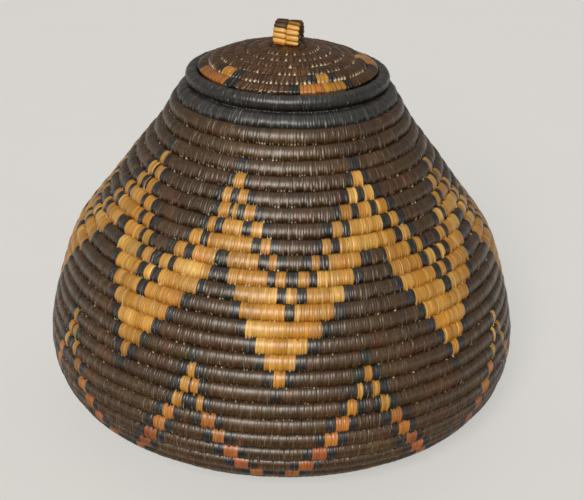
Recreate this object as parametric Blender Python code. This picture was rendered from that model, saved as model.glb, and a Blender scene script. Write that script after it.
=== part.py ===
"""A lidded coiled basket: a round-bellied body and a domed lid, each a grass coil sewn row on row.

The body is one long coil that starts at the middle of the base and tapers off under a level ring at
the mouth. The lid is a second coil, edged with a thicker roll, with a collar below that drops into
the mouth and a knob on top. Each full turn of a coil is its own object, cut from the next one at a
seam behind the basket. Metres, +Z up. The origin is the middle of the base, the front is towards -Y,
and the lid lifts off along the Z axis.
"""

import math

import bmesh
import bpy
import numpy as np

# Body
body_radius = 0.1477
body_height = 0.2114
belly_height = 0.0540
base_radius = 0.0880
mouth_radius = 0.0479
shoulder_droop = math.radians(10.5)

# Coil of the body
coil_thickness = 0.0090
row_pitch = 0.00898
row_gap = 0.0003

# Lid
lid_rise = 0.0132
lid_coil_thickness = 0.0074
lid_row_pitch = 0.0074
lid_roll_thickness = 0.0090
lid_edge_slope = math.radians(30)

# Collar under the lid
collar_coil_thickness = 0.0067
collar_clearance = 0.0020
collar_rings = 3

# Knob
knob_coil_thickness = 0.0077
knob_height = 0.0135
knob_depth = 0.0160
knob_turn = math.radians(-15)

# Where the wall runs, as shares: outwards and upwards from the base's edge to the belly,
# then outwards and upwards from the belly's height to the shoulder.
lower_wall_shares = [(0.52, 0.18), (0.85, 0.415)]
upper_wall_shares = [(0.9185, 0.214), (0.776, 0.423), (0.61, 0.542), (0.354, 0.7264), (0.0633, 0.949)]
# Where the lid's dome runs, from its middle to its edge, as shares of its reach and its rise.
dome_shares = [(0.0, 1.0), (0.28, 0.91), (0.54, 0.70), (0.80, 0.40), (1.0, 0.0)]
# How far a coil's flank stands from its middle, as a share of the way to its crown.
flank_share = 0.45

# How finely the coils are cut.
segments = 28
ramp_segments = 4
roll_sides = 8
knob_bend_segments = 6
curve_samples = 2000

COLOURS = {
    "brown_palm": (0.078, 0.048, 0.028),
    "black_palm": (0.020, 0.021, 0.024),
    "lid_brown_palm": (0.085, 0.052, 0.031),
    "golden_palm": (0.670, 0.350, 0.080),
}


def clear_scene():
    """Start from an empty scene."""
    for item in list(bpy.data.objects):
        bpy.data.objects.remove(item)


def palm_material(name):
    """One Principled material per dye."""
    material = bpy.data.materials.get(name)
    if material is None:
        material = bpy.data.materials.new(name)
        material.use_nodes = True
        shader = material.node_tree.nodes["Principled BSDF"]
        shader.inputs["Base Color"].default_value = (*COLOURS[name], 1.0)
        shader.inputs["Roughness"].default_value = 0.5
        shader.inputs["Metallic"].default_value = 0.0
    return material


def smooth_curve(points, start_direction):
    """A cubic spline through the points, along their chords, that leaves the first in one direction."""
    points = np.array(points, float)
    chords = np.linalg.norm(np.diff(points, axis=0), axis=1)
    count = len(points)
    matrix = np.zeros((count, count))
    right = np.zeros((count, 2))
    matrix[0, 0] = 1
    right[0] = start_direction
    for i in range(1, count - 1):
        matrix[i, i - 1 : i + 2] = chords[i], 2 * (chords[i - 1] + chords[i]), chords[i - 1]
        before = (points[i] - points[i - 1]) / chords[i - 1]
        after = (points[i + 1] - points[i]) / chords[i]
        right[i] = 3 * (chords[i] * before + chords[i - 1] * after)
    matrix[-1, -2:] = 1, 2
    right[-1] = 3 * (points[-1] - points[-2]) / chords[-1]
    slopes = np.linalg.solve(matrix, right)
    steps = np.linspace(0, 1, curve_samples // count, endpoint=False)[:, None]
    spans = []
    for i, chord in enumerate(chords):
        first = (1 + 2 * steps) * (1 - steps) ** 2 * points[i] + steps * (1 - steps) ** 2 * chord * slopes[i]
        last = steps**2 * (3 - 2 * steps) * points[i + 1] - steps**2 * (1 - steps) * chord * slopes[i + 1]
        spans.append(first + last)
    return np.vstack([*spans, points[-1:]])


class Meridian:
    """A coil's middle line in a plane through the axis, read by the distance along it from the middle."""

    def __init__(self, points, outer_side):
        self.points = points
        lengths = np.linalg.norm(np.diff(points, axis=0), axis=1)
        self.distances = np.concatenate([[0], np.cumsum(lengths)])
        tangents = np.gradient(points, self.distances, axis=0)
        tangents /= np.linalg.norm(tangents, axis=1)[:, None]
        self.normals = outer_side * np.stack([tangents[:, 1], -tangents[:, 0]], axis=1)
        self.length = self.distances[-1]

    def at(self, distance, offset):
        """The point at one distance, moved outwards by an offset: its radius and its height."""
        place = [np.interp(distance, self.distances, self.points[:, k]) for k in (0, 1)]
        normal = [np.interp(distance, self.distances, self.normals[:, k]) for k in (0, 1)]
        return np.array(place) + offset * np.array(normal) / np.hypot(*normal)


class Coil:
    """A coil along a meridian: its rows are a pitch apart, counted back from the middle of the last one."""

    def __init__(self, meridian, reach, pitch, thickness):
        self.meridian = meridian
        self.pitch = pitch
        self.half = thickness / 2
        self.rows = int(reach / pitch)
        self.start = reach - self.rows * pitch

    def middle(self, row):
        """How far along the meridian a row's middle lies. A row may be a fraction, on the ramp."""
        return self.start + row * self.pitch

    def edge(self, row):
        """The far edge of a row, half the gap short of the next one."""
        return self.middle(row + 1 / 2) - row_gap / 2


def body_meridian():
    """Flat under the base, out to the belly, up the cone of the neck and in over the shoulder."""
    half = coil_thickness / 2
    belly = np.array([body_radius - half, belly_height])
    mouth = np.array([mouth_radius + half, body_height - half])
    shoulder = mouth + row_pitch * np.array([math.cos(shoulder_droop), -math.sin(shoulder_droop)])
    base_edge = np.array([base_radius, half])
    bends = [base_edge]
    bends += [base_edge + np.array(share) * (belly - base_edge) for share in lower_wall_shares]
    bends += [belly]
    low = np.array([shoulder[0], belly[1]])
    high = np.array([belly[0], shoulder[1]])
    bends += [low + np.array(share) * (high - low) for share in upper_wall_shares]
    bends += [shoulder, mouth]
    wall = smooth_curve(bends, (1, 0))
    base = np.linspace((0, half), base_edge, segments, endpoint=False)
    return Meridian(np.vstack([base, wall]), 1)


def lid_meridian(roll_middle):
    """A low dome that ends against the edge roll."""
    reach = lid_roll_thickness / 2 / math.cos(math.pi / roll_sides) + row_gap
    edge = roll_middle + reach * np.array([-math.cos(lid_edge_slope), math.sin(lid_edge_slope)])
    dome = [(out * edge[0], edge[1] + up * lid_rise) for out, up in dome_shares]
    return Meridian(smooth_curve(dome, (1, 0)), -1)


def ramp(turn_share):
    """How far a turn has climbed to the next row: level, then up on a smooth step at its end."""
    corners = np.arange(segments + 1) / segments
    along = np.clip(1 - (1 - corners) * segments / ramp_segments, 0, 1)
    return np.interp(turn_share, corners, along * along * (3 - 2 * along))


def turn_angle(turn_share):
    """The angle at a share of a turn. Each turn starts just past the ramp, whose middle is at the back."""
    return math.pi / 2 + math.pi * ramp_segments / segments + 2 * math.pi * turn_share


def turn_shares(radius, last):
    """The corners of one turn, drawn in at both ends by half the gap to the turns it is cut from."""
    shares = np.arange(last + 1) / segments
    inset = row_gap / 2 / radius / (2 * math.pi)
    shares[0] += inset
    if last == segments:
        shares[-1] -= inset
    return shares


def around(radius_and_height, angle):
    """A point of the meridian's plane turned to an angle about the axis."""
    radius, height = radius_and_height
    return radius * math.cos(angle), radius * math.sin(angle), height


def coil_section(meridian, low, high, half, crown_outside, fullness):
    """The coil's outline across one row: a flat side, and a crowned side that is lower on a thinner coil."""
    side = 1 if crown_outside else -1
    flank = half * flank_share
    crown = flank + (half - flank) * fullness
    corners = [(low, -half), (high, -half), (high, flank), ((low + high) / 2, crown), (low, flank)]
    return [meridian.at(distance, side * offset) for distance, offset in corners]


def make_object(name, rings, closed, colour):
    """A closed skin over rings of points, with a face on each open end.

    The last side of a coil's outline is split the other way from the rest, so that neighbouring turns,
    which look at each other across the gap, fold along the same line where they climb.
    """
    mesh = bmesh.new()
    loops = [[mesh.verts.new(point) for point in ring] for ring in rings]
    pairs = list(zip(loops, loops[1:]))
    if closed:
        pairs.append((loops[-1], loops[0]))
    else:
        mesh.faces.new(loops[0])
        mesh.faces.new(loops[-1])
    for first, second in pairs:
        quads = list(zip(first, first[1:] + first[:1], second[1:] + second[:1], second))
        for a, b, c, d in quads[:-1]:
            mesh.faces.new((a, b, c))
            mesh.faces.new((a, c, d))
        a, b, c, d = quads[-1]
        mesh.faces.new((a, b, d))
        mesh.faces.new((b, c, d))
    return finish_object(name, mesh, colour)


def finish_object(name, mesh, colour):
    """Turn the faces outwards, shade the rounds smooth and hang the material on."""
    bmesh.ops.recalc_face_normals(mesh, faces=mesh.faces)
    data = bpy.data.meshes.new(name)
    mesh.to_mesh(data)
    mesh.free()
    data.shade_smooth()
    data.set_sharp_from_angle(angle=math.radians(40))
    data.materials.append(palm_material(colour))
    piece = bpy.data.objects.new(name, data)
    bpy.context.scene.collection.objects.link(piece)
    return piece


def coil_turn(name, coil, row, crown_outside, is_last, colour):
    """One turn of the coil: level along its row, then up to the next one. The last turn tapers off."""
    inner_radius = coil.meridian.at(coil.middle(row - 1 / 2), 0)[0]
    width = coil.pitch - row_gap
    rings = []
    for share in turn_shares(inner_radius, segments - 1 if is_last else segments):
        low = coil.edge(row + ramp(share)) - width
        high = coil.edge(row) if is_last else low + width
        ring = coil_section(coil.meridian, low, high, coil.half, crown_outside, (high - low) / width)
        rings.append([around(point, turn_angle(share)) for point in ring])
    return make_object(name, rings, False, colour)


def level_ring(name, coil, row, colour):
    """A closed ring of coil on one level row."""
    high = coil.edge(row)
    low = high - coil.pitch + row_gap
    outline = coil_section(coil.meridian, low, high, coil.half, True, 1)
    rings = [[around(point, turn_angle(i / segments)) for point in outline] for i in range(segments)]
    return make_object(name, rings, True, colour)


def coil_start(name, coil, colour):
    """The first knot of a coil: a round button that widens at its end to meet the first turn."""
    mesh = bmesh.new()
    inside, outside = (mesh.verts.new(around(coil.meridian.at(0, side * coil.half), 0)) for side in (-1, 1))
    shares = turn_shares(coil.edge(0), segments)
    # The face that steps out to the first turn's end starts on the seam and leans back from it.
    shares[0] = 0
    shares[-1] = 1 - row_gap / coil.edge(1) / (2 * math.pi)
    edge = []
    for share in shares:
        distance = coil.edge(ramp(share))
        ends = [coil.meridian.at(distance, side * coil.half) for side in (-1, 1)]
        edge.append([mesh.verts.new(around(end, turn_angle(share))) for end in ends])
    for (low, high), (next_low, next_high) in zip(edge, edge[1:] + edge[:1]):
        mesh.faces.new((inside, low, next_low))
        mesh.faces.new((outside, high, next_high))
        mesh.faces.new((low, high, next_high, next_low))
    return finish_object(name, mesh, colour)


def ring_coil(name, middle, thickness, colour):
    """A closed ring of coil, thickness across its flats."""
    corner = thickness / 2 / math.cos(math.pi / roll_sides)
    corners = math.pi * (2 * np.arange(roll_sides) + 1) / roll_sides
    outline = [middle + corner * np.array([math.cos(a), math.sin(a)]) for a in corners]
    angles = 2 * math.pi * np.arange(segments) / segments
    rings = [[around(point, angle) for point in outline] for angle in angles]
    return make_object(name, rings, True, colour)


def resting_height(outline, radius, reach):
    """How high a round of this reach, at this radius, lies on an outline of points."""
    across = outline[:, 0] - radius
    near = np.abs(across) < reach
    return (outline[near, 1] + np.sqrt(reach**2 - across[near] ** 2)).max()


def crowned_outline(coil, row_numbers):
    """Points along the crowned outside of some rows."""
    points = []
    for row in row_numbers:
        for share in np.linspace(-1, 1, curve_samples // segments):
            offset = coil.half * (1 - (1 - flank_share) * abs(share))
            points.append(coil.meridian.at(coil.middle(row + share / 2), offset))
    return np.array(points)


def build_body():
    """The body's coil, row by row, and the level ring that finishes its mouth."""
    wall = body_meridian()
    # The mouth ring's inner half lies past the end of the wall's middle line.
    overrun = wall.points[-1] - np.array([row_pitch, 0])
    coil = Coil(Meridian(np.vstack([wall.points, overrun]), 1), wall.length, row_pitch, coil_thickness)
    coil_start("base_start_knot", coil, "brown_palm")
    base_rows = int((base_radius - coil.start) / row_pitch - 3 / 2)
    for row in range(1, coil.rows - 1):
        on_base = row <= base_rows
        name = f"base_coil_{row:02d}" if on_base else f"wall_coil_{row - base_rows:02d}"
        coil_turn(name, coil, row, not on_base, False, "brown_palm")
    coil_turn("shoulder_coil", coil, coil.rows - 1, True, True, "black_palm")
    level_ring("mouth_ring", coil, coil.rows, "black_palm")
    return coil


def build_lid(body):
    """The lid: edge roll on the mouth, dome within it, collar under the dome and knob on top."""
    roll_corner = lid_roll_thickness / 2 / math.cos(math.pi / roll_sides)
    roll_radius = mouth_radius + coil_thickness
    seat = crowned_outline(body, (body.rows - 1, body.rows))
    roll_middle = np.array([roll_radius, resting_height(seat, roll_radius, roll_corner + row_gap)])
    ring_coil("lid_edge_roll", roll_middle, lid_roll_thickness, "black_palm")

    dome = lid_meridian(roll_middle)
    coil = Coil(dome, dome.length - lid_row_pitch / 2, lid_row_pitch, lid_coil_thickness)
    coil_start("lid_start_knot", coil, "lid_brown_palm")
    for row in range(1, coil.rows + 1):
        coil_turn(f"lid_coil_{row:02d}", coil, row, True, row == coil.rows, "lid_brown_palm")

    build_collar(dome)
    build_knob(dome.at(0, coil.half)[1] + row_gap)


def build_collar(dome):
    """Rings of coil under the dome, one below the other, that drop into the mouth."""
    corner = collar_coil_thickness / 2 / math.cos(math.pi / roll_sides)
    radius = mouth_radius - collar_clearance - corner
    distances = np.linspace(0, dome.length, curve_samples)
    underside = np.array([dome.at(distance, -lid_coil_thickness / 2) for distance in distances])
    height = -resting_height(underside * np.array([1, -1]), radius, corner + row_gap)
    for i in range(collar_rings):
        middle = np.array([radius, height - i * (collar_coil_thickness + row_gap)])
        ring_coil(f"lid_collar_ring_{i + 1}", middle, collar_coil_thickness, "lid_brown_palm")


def build_knob(foot):
    """Two tight hairpins of coil side by side, each up from the lid's middle, over and down again."""
    half = knob_coil_thickness / 2
    bend = knob_depth / 2 - half
    crest = foot + knob_height - half - bend
    arc = math.pi * np.arange(knob_bend_segments + 1) / knob_bend_segments
    stations = [(0, foot), *((turn, crest) for turn in arc), (math.pi, foot)]
    corners = math.pi * (2 * np.arange(roll_sides) + 1) / roll_sides
    for name, side in (("knob_loop_left", -1), ("knob_loop_right", 1)):
        middle = side * (half + row_gap / 2)
        rings = []
        for turn, height in stations:
            ring = []
            for corner in corners:
                out = bend + half * math.cos(corner)
                across = middle + half * math.sin(corner)
                ring.append(turned(across, -out * math.cos(turn), height + out * math.sin(turn)))
            rings.append(ring)
        make_object(name, rings, False, "golden_palm")


def turned(across, depth, height):
    """A point of the knob, turned with it about the lid's axis."""
    cosine = math.cos(knob_turn)
    sine = math.sin(knob_turn)
    return across * cosine - depth * sine, across * sine + depth * cosine, height


def carry(name):
    """An empty on the axis that carries every piece made since the last one."""
    carrier = bpy.data.objects.new(name, None)
    for piece in bpy.data.objects:
        if piece.type == "MESH" and piece.parent is None:
            piece.parent = carrier
    bpy.context.scene.collection.objects.link(carrier)


def main():
    clear_scene()
    body = build_body()
    carry("basket")
    build_lid(body)
    carry("lid")


main()
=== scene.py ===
"""A lidded coiled basket with every turn of its grass coil wrapped in dyed palm strips.

Each piece stands for the solid of the same name and takes its place from the same driving sizes. A
row of coil is a rounded section carried along the basket's meridian, cut into strips that bulge
between grooves and end in tongues over the next row. Each strip has a dye of its own, chosen by the
row that it lies on and by how far round the basket it is. Metres, +Z up, the front towards -Y.
"""

import math

import bpy
import numpy as np
from mathutils import Matrix, Vector


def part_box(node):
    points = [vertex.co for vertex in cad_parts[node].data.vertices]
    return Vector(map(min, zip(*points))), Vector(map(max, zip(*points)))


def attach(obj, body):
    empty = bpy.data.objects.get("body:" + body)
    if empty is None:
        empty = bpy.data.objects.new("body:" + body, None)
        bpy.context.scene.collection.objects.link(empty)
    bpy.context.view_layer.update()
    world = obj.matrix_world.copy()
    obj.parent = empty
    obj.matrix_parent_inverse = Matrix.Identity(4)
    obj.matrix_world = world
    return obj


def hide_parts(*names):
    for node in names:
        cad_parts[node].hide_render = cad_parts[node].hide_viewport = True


bl_info = {
    "name": "Coiled palm basket",
    "version": (1, 0, 0),
    "blender": (4, 5, 0),
    "location": "View3D > Sidebar > Basket",
    "description": "Wraps a lidded coiled basket in dyed palm strips and stages it",
    "category": "Object",
}

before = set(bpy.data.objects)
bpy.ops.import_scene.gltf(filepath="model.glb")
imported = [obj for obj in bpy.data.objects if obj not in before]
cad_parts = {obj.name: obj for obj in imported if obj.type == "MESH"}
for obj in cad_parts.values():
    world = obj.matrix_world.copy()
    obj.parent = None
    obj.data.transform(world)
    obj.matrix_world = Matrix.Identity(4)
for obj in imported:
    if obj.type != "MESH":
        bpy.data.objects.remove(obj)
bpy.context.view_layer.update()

# Each turn of the solid has this many segments and climbs over the last few. A coil's last turn ends
# one segment early.
TURN_SEGMENTS = 28
RAMP_SEGMENTS = 4
LAST_TURN = 1 - 1 / TURN_SEGMENTS
# The flat rows end this many rows short of the base's edge.
BASE_EDGE_ROWS = 3 / 2
# The section of the solid edge roll has this many sides.
ROLL_SIDES = 8
CURVE_SAMPLES = 2000

# Where the wall and the lid's dome run, as shares of their reach outwards and upwards.
LOWER_WALL_SHARES = [(0.52, 0.18), (0.85, 0.415)]
UPPER_WALL_SHARES = [(0.9185, 0.214), (0.776, 0.423), (0.61, 0.542), (0.354, 0.7264), (0.0633, 0.949)]
DOME_SHARES = [(0.0, 1.0), (0.28, 0.91), (0.54, 0.70), (0.80, 0.40), (1.0, 0.0)]

# A strip of the body, and a finer one of the lid or knob: where its columns of points stand from one
# groove to the next, the least reach of its tongue, and how square the tongue's end is.
BODY_STRIP = (np.array([0.0, 0.3, 0.7]), -0.15, 4)
FINE_STRIP = (np.array([0.0, 0.14, 0.36, 0.64, 0.86]), 0.75, 2)
LONGEST_TONGUE = 1.1
LEAST_STRIPS = 6
# How the strips differ: the depths of their grooves, their crowns, heights, tilts and bends.
GROOVE_LEAST = 0.15
GROOVE_SPREAD = 1.1
GROOVE_SKEW = 2.5
CROWN_POWER = 2.2
HEIGHT_SPREAD = 0.14
TILT = 0.25
TILT_SPREAD = 0.3
BEND_SPREAD = 0.09

# Round one row: the angles of its points, from the crease below, over the crown and back inside.
OUTER_ANGLES = np.radians([-90, -66, -44, -22, 0, 22, 44, 66, 90])
INNER_ANGLES = np.radians([120, 160, 200, 240])
ROW_ANGLES = np.concatenate([OUTER_ANGLES, INNER_ANGLES])
ROW_SINES = np.sin(ROW_ANGLES)
ROW_COSINES = np.cos(ROW_ANGLES)
ROW_COSINES[np.abs(ROW_ANGLES) == math.pi / 2] = 0
# Along the strip, 0 is the crease below, 1 the one above, and 2 the crease below again.
ROW_VS = np.concatenate([np.linspace(0, 1, len(OUTER_ANGLES)), 1 + (INNER_ANGLES / math.pi - 0.5)])
ROUND_ANGLES = np.linspace(0, 2 * math.pi, 16, endpoint=False)
ROUND_MIDDLES = ROUND_ANGLES + math.pi / len(ROUND_ANGLES)
ROUND_VS = ROUND_ANGLES / math.pi
ROUND_POWER = 2.3
FLAT_POWER = 5.0
# Where the ends of a strip's tongue lie, as shares of the row's half sizes: down the wall and outwards.
TONGUE_ALONG_SHARES = np.array([-1.135, -1.01, -0.80])
TONGUE_OUT_SHARES = np.array([0.79, 0.775, 0.83])
TONGUE_ENDS = slice(0, len(TONGUE_ALONG_SHARES))
FLAT_TONGUE_SHARE = 0.97
# The lid's last row has longer tongues and closes the gap to the edge roll.
LAST_TONGUE_REACH = 1.15
LAST_ROW_CLOSING = 0.0009
# What is left of a row's thickness and width where a coil's last turn has thinned to nothing.
THIN_SHARE = 0.45
NARROW_SHARE = 0.05
# The flat of the base is gone a third of a turn past its last row.
FLAT_FADE = 3
# The flat of the base stands this much clear of the floor. The rows round its edge carry the basket.
FLOOR_ROOM = 0.0004
# A round ring is drawn in by these shares of its strips' relief and of the groove's depth.
RING_RELIEF = 0.45
RING_GROOVE = 0.2
# Down the button of a start knot: the angles of its points, how near its poles are drawn together, and
# how fast its grooves deepen away from them.
KNOT_ANGLES = np.radians([90, 80, 62, 44, 24, 0, -30, -60, -80, -90])
KNOT_VS = np.linspace(0.35, 1.65, len(KNOT_ANGLES))
KNOT_POLE = 0.02
KNOT_FADE = 1.6
FLAT_KNOT_POWER = 6.0
ROUND_KNOT_POWER = 3.0
# How a row wanders along the coil: waves to a turn and their weights.
WANDER_WAVES = [(2.37, 1.0), (3.91, 0.8), (7.13, 0.5)]

# Where each kind of piece starts its random numbers.
DRIFT_SEED = 5
SWAY_SEED = 6
ROLL_SEED = 41
COLLAR_SEED = 51
KNOB_SEED = 70
TURN_SEED = 1000
LID_TURN_SEED = 1500
SEED_STEP = 7
RING_SEED = 2000
KNOT_SEED = 3000

DYES = ("brown", "umber", "slate", "black", "gold", "orange", "rust")
BROWN, UMBER, SLATE, BLACK, GOLD, ORANGE, RUST = range(len(DYES))
# One leaf makes a few strips, tinted alike. Black takes more of the tint.
LEAF_STRIPS = (3, 12)
LEAF_TINTS = np.array([(1.22, 0.88, 0.80), (0.96, 1.10, 0.84), (1.0, 0.96, 1.04), (1, 1, 1), (1, 1, 1)])
TINT_STRENGTHS = (0.2, 1.0)
BLACK_TINT = 2.2
# The share of straw or amber in an undyed strip, and how light a strip is: the mean and the spreads
# from leaf to leaf and from strip to strip.
STRAW_SHARE = (0.25, 0.3, 0.22)
AMBER_SHARE = (-0.05, 0.2, 0.12)
LIGHTNESS = (0, 0.13, 0.15)
MOST_AMBER = 0.6
PALEST = 0.95
# Orange and rust strips take this part of the straw. With the golden ones they differ less in lightness.
WARM_STRAW = 0.35
WARM_LIGHTNESS = 0.6

# The upper figure: a golden zigzag of eight deep V shapes. Azimuths are degrees round from the front,
# and each V leans a little to the right as it goes up. Levels are rows counted from the V's tips.
V_TIPS = np.array([-38.4, 0.2, 45.3, 84.5, 134.5, 182.0, 229.5, 277.0])
V_LEANS = np.array([0.22, 0.48, 0.54] + [0.50] * 5)
V_PEAKS = np.array([-17.4, 29.2, 71.5, 114.0, 160.5, 208.0, 256.0, 303.6])
V_TOPS = np.array([12, 12, 11] + [12] * 5)
V_TRIMS = np.array([(1.9, 0.0), (0.0, 1.0), (0.0, 2.0)] + [(0.8, 0.8)] * 5)
V_CLIMBS = np.array([1.07, 1.0, 0.97, 0.95] + [1.0] * 4)
TIP_ROW = 22
LINE_LEVEL = 5
NOTCH_LEVEL = 7
TRIM_ROWS = 2
CHECK_WIDTH = 0.0057
GAP_SHARE = 0.85
LINE_STEP = 0.0061
LINE_END = 0.8
TIP_HALF = 1.1
EDGE_STEP = 2.75
NOTCH_HALF = 1.7

# The lower figure: a small zigzag whose legs turn from gold to rust as they come down.
SMALL_PEAKS = np.array([-59.3, -19.8, 20.2, 64.8, 112.0, 160.0, 207.0, 254.0])
SMALL_LAGS = np.array([2.0, 2.1, 0.6] + [1.0] * 5)
SMALL_CHECK = 0.0054
SMALL_SPREADS = np.array([1.0, 0.8, 0.9, 1.25] + [1.4] * 7)
SMALL_STEP = 0.0059
ORANGE_FROM = 3
RUST_FROM = 5
SMALL_ROWS = 10

# The lid's figures: a short pale check on one row over a longer patch on the row outside it. The
# middle and half width of each are degrees round, and so is the black beside them.
LID_INNER_ROW = 5
LID_CHECKS = np.array([(-48.5, 6.0), (26.5, 4.8), (93.5, 5.0), (195.0, 6.0)])
LID_CHECK_BLACK = 8.0
LID_PATCHES = np.array([(-58.0, 17.5), (23.0, 15.0), (105.0, 17.0), (195.0, 16.0)])
LID_PATCH_BLACK = 7.0

# The knob's coil is nearly square, and its strips slope down to the right. They are cut evenly, and
# the strips of one loop stand half a strip off those of the other.
KNOB_POWER = 5.0
KNOB_SPREAD = 1.05
KNOB_DROOP = 0.08
KNOB_UNEVENNESS = 0.08
KNOB_FIRST_STRIP = 0.6
KNOB_GROOVE = 0.0006
# Where the loops touch, from this sine on, their grooves keep only a share of their depth.
KNOB_TOUCH = -0.4
KNOB_TOUCH_GROOVE = 0.3
# Gold covers a loop's outer faces, from this cosine on, but not its side, past this sine: up to the bend
# on the left loop, and over it on the right one, whose crest is amber. Behind it those faces are dark.
KNOB_OUTER = -0.15
KNOB_SIDE = 0.9
KNOB_GOLD_STRIPS = {-1: 2, 1: 4}
KNOB_AMBER_STRIP = 4
KNOB_GOLD = (0.93, 0.61, 0.17)
KNOB_CAP = (0.115, 0.085, 0.045)
KNOB_AMBER = (0.42, 0.22, 0.05)
KNOB_TONES = (0.88, 1.1)

# The stage: the floor's half width, the colours and places of the lights, and the width of the film.
FLOOR_REACH = 40.0
SUN_COLOUR = (1.0, 0.945, 0.87)
SUN_FROM = (-0.18, -1.0, 0.60)
FILL_COLOUR = (1.0, 0.99, 0.97)
FILL_FROM = (0.0, 0.10, 1.40)
FILL_TOWARDS = (0, 0, 0.12)
FILL_SIZE = (1.2, 0.9)
ROOM_COLOUR = (1.0, 0.94, 0.87, 1)
FILM_WIDTH = 36.0


def prop(name, description, default, **kind):
    """A number or a vector that a user may change, with its unit or subtype."""
    make = bpy.props.FloatVectorProperty if isinstance(default, tuple) else bpy.props.FloatProperty
    return make(name=name, description=description, default=default, **kind)


class PROPS_PG_coil(bpy.types.PropertyGroup):
    """Driving sizes of the coils, the same as the solid's."""

    body_radius: prop("Body radius", "Axis to the outside of the belly", 0.1477, unit="LENGTH")
    body_height: prop("Body height", "Base to the top of the mouth", 0.2114, unit="LENGTH")
    belly_height: prop("Belly height", "Base to the widest row", 0.0540, unit="LENGTH")
    base_radius: prop("Base radius", "Axis to the edge of the flat base", 0.0880, unit="LENGTH")
    mouth_radius: prop("Mouth radius", "Axis to the inside of the mouth", 0.0479, unit="LENGTH")
    shoulder_droop: prop("Shoulder droop", "Slope of the last row", math.radians(10.5), subtype="ANGLE")
    coil_thickness: prop("Coil thickness", "Thickness of the body's coil", 0.0090, unit="LENGTH")
    row_pitch: prop("Row pitch", "Distance from row to row up the wall", 0.00898, unit="LENGTH")
    row_gap: prop("Row gap", "Gap between the rows of the solid", 0.0003, unit="LENGTH")
    lid_rise: prop("Lid rise", "Edge roll to the middle of the dome", 0.0132, unit="LENGTH")
    lid_coil_thickness: prop("Lid coil", "Thickness of the lid's coil", 0.0074, unit="LENGTH")
    lid_row_pitch: prop("Lid row pitch", "Distance from row to row of the lid", 0.0074, unit="LENGTH")
    lid_roll_thickness: prop("Edge roll", "Thickness of the lid's edge roll", 0.0090, unit="LENGTH")
    lid_edge_slope: prop("Lid edge slope", "Slope of the dome's edge", math.radians(30), subtype="ANGLE")
    knob_coil_thickness: prop("Knob coil", "Thickness of the knob's loops", 0.0077, unit="LENGTH")
    knob_height: prop("Knob height", "Height of the knob's loops", 0.0135, unit="LENGTH")
    knob_depth: prop("Knob depth", "Front to back of the knob", 0.0160, unit="LENGTH")
    knob_turn: prop("Knob turn", "How far the knob is turned", math.radians(-15), subtype="ANGLE")


class PROPS_PG_strips(bpy.types.PropertyGroup):
    """How the palm strips lie on the coil."""

    width: prop("Strip width", "Width of a strip on the body", 0.0015, unit="LENGTH")
    lid_width: prop("Lid strip width", "Width of a strip on the lid", 0.0024, unit="LENGTH")
    knob_width: prop("Knob strip width", "Width of a strip on the knob's outside", 0.0033, unit="LENGTH")
    groove: prop("Groove", "Depth of the groove between two strips", 0.00036, unit="LENGTH")
    lift: prop("Lift", "How much one strip leans out more than another", 0.00016, unit="LENGTH")
    overlap: prop("Overlap", "How far each row presses into the next", 0.00045, unit="LENGTH")
    drift: prop("Drift", "How far a row wanders from its true line", 0.00030, unit="LENGTH")
    unevenness: prop("Unevenness", "How much the widths of strips differ", 0.32, subtype="FACTOR")
    slant: prop("Slant", "Lean of a strip, as a share of its width", 0.14, subtype="FACTOR")


class PROPS_PG_dyes(bpy.types.PropertyGroup):
    """Colours of the palm strips."""

    brown: prop("Brown", "Ground of the body", (0.047, 0.0222, 0.0075), subtype="COLOR")
    umber: prop("Umber", "Ground of the lid", (0.066, 0.0278, 0.0085), subtype="COLOR")
    slate: prop("Slate", "Mouth, shoulder and edge roll", (0.027, 0.0285, 0.031), subtype="COLOR")
    black: prop("Black", "Outlines of the figures", (0.0105, 0.0120, 0.0145), subtype="COLOR")
    gold: prop("Gold", "Undyed strips", (0.425, 0.192, 0.019), subtype="COLOR")
    straw: prop("Straw", "The palest undyed strips", (0.640, 0.382, 0.088), subtype="COLOR")
    orange: prop("Orange", "Strips of the lower figure", (0.380, 0.136, 0.025), subtype="COLOR")
    rust: prop("Rust", "Foot of the lower figure", (0.285, 0.074, 0.020), subtype="COLOR")


class PROPS_PG_stage(bpy.types.PropertyGroup):
    """Camera, floor and lights."""

    elevation: prop("Elevation", "How steeply the camera looks down", 0.42846, subtype="ANGLE")
    roll: prop("Roll", "Tilt of the camera about its view", -0.026586, subtype="ANGLE")
    distance: prop("Distance", "Camera to the point that it looks at", 0.78996, unit="LENGTH")
    aim: prop("Aim", "The point that the camera looks at", (0.00536, 0.0, 0.09889), subtype="XYZ")
    lens: prop("Lens", "Focal length of the camera", 76.27, unit="CAMERA")
    floor: prop("Floor", "Colour of the floor", (0.78, 0.775, 0.755), subtype="COLOR")
    glow: prop("Floor glow", "The share of its colour that the floor shows unlit", 0.5, subtype="FACTOR")
    key_power: prop("Key light", "Strength of the sun above the camera", 3.3)
    key_angle: prop("Key angle", "How wide the sun looks", math.radians(30), subtype="ANGLE")
    fill_power: prop("Fill light", "Power of the wide light overhead", 1.2, unit="POWER")
    ambient: prop("Ambient", "Strength of the light from all round", 0.17)


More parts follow.
